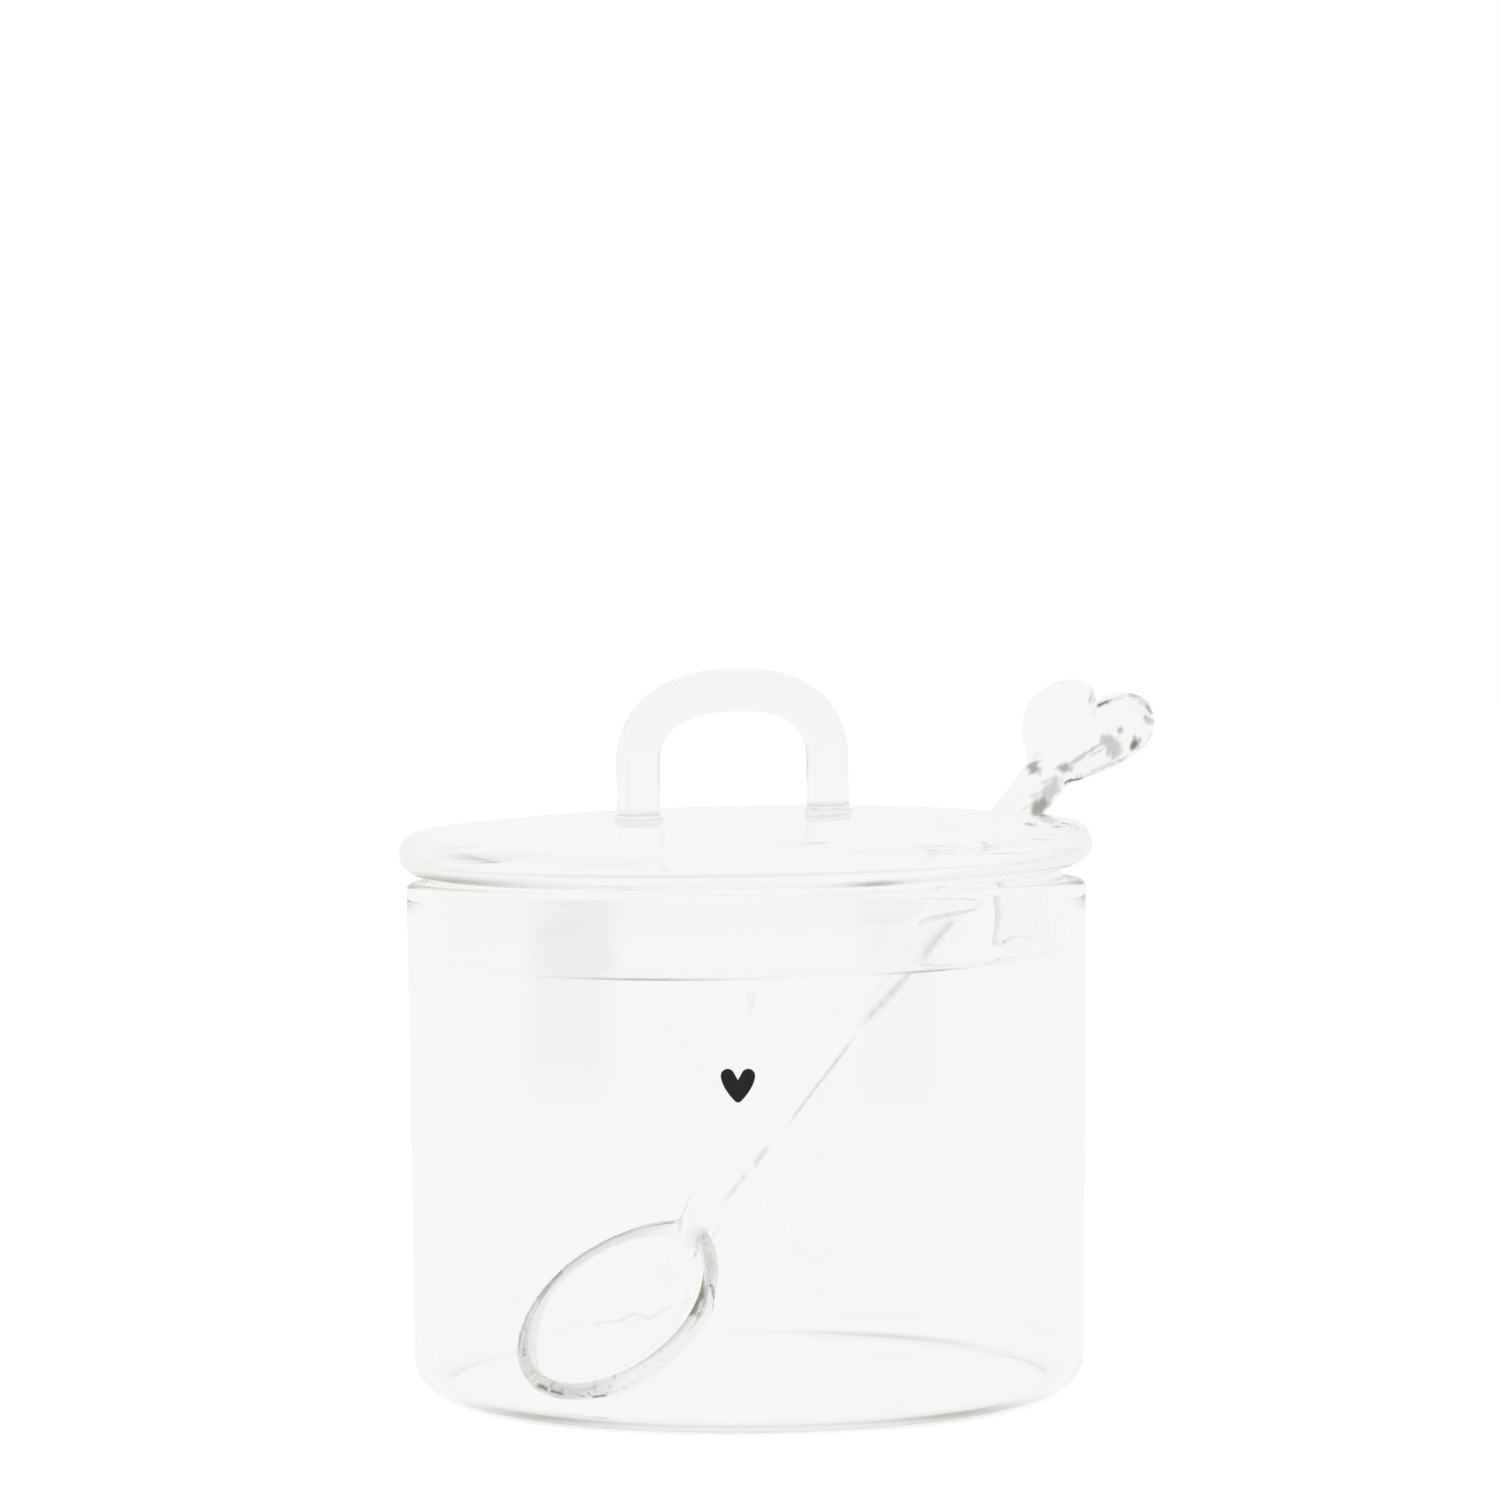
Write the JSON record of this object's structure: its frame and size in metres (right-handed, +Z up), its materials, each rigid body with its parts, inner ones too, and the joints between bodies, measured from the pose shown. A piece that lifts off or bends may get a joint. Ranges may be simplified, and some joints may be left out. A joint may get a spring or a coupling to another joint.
{
  "type": "glass sugar bowl",
  "caption": "Round clear glass sugar bowl with a notched lift-off lid, an arched rod handle and a leaning glass spoon that ends in a heart.",
  "frame": {"origin": "centre of the bowl's flat base, on the surface it stands on", "axes": "+Z up, front with the printed heart facing -Y, +X to the right; the spoon leans to the back right"},
  "size_m": [0.1149, 0.102, 0.1056],
  "materials": {
    "bowl_glass": "clear, fire-polished",
    "lid_glass": "clear, fire-polished",
    "spoon_glass": "clear, hand-worked",
    "print_black": "fired-on black enamel print"
  },
  "bodies": {
    "bowl": {"bowl_body": "bowl_glass", "heart_print": "print_black"},
    "lid": {"lid_plate": "lid_glass", "lid_skirt": "lid_glass", "lid_handle": "lid_glass"},
    "spoon": {"spoon_bowl": "spoon_glass", "spoon_stem": "spoon_glass", "spoon_heart": "spoon_glass"}
  },
  "joints": [
    {"name": "lid_lift", "type": "slide", "parent": "bowl", "child": "lid", "axis": [0, 0, 1], "range_m": [0, 0.12]},
    {"name": "spoon_slide", "type": "slide", "parent": "bowl", "child": "spoon", "axis": [0.569, 0.4808, 0.6671], "range_m": [0, 0.04]}
  ]
}
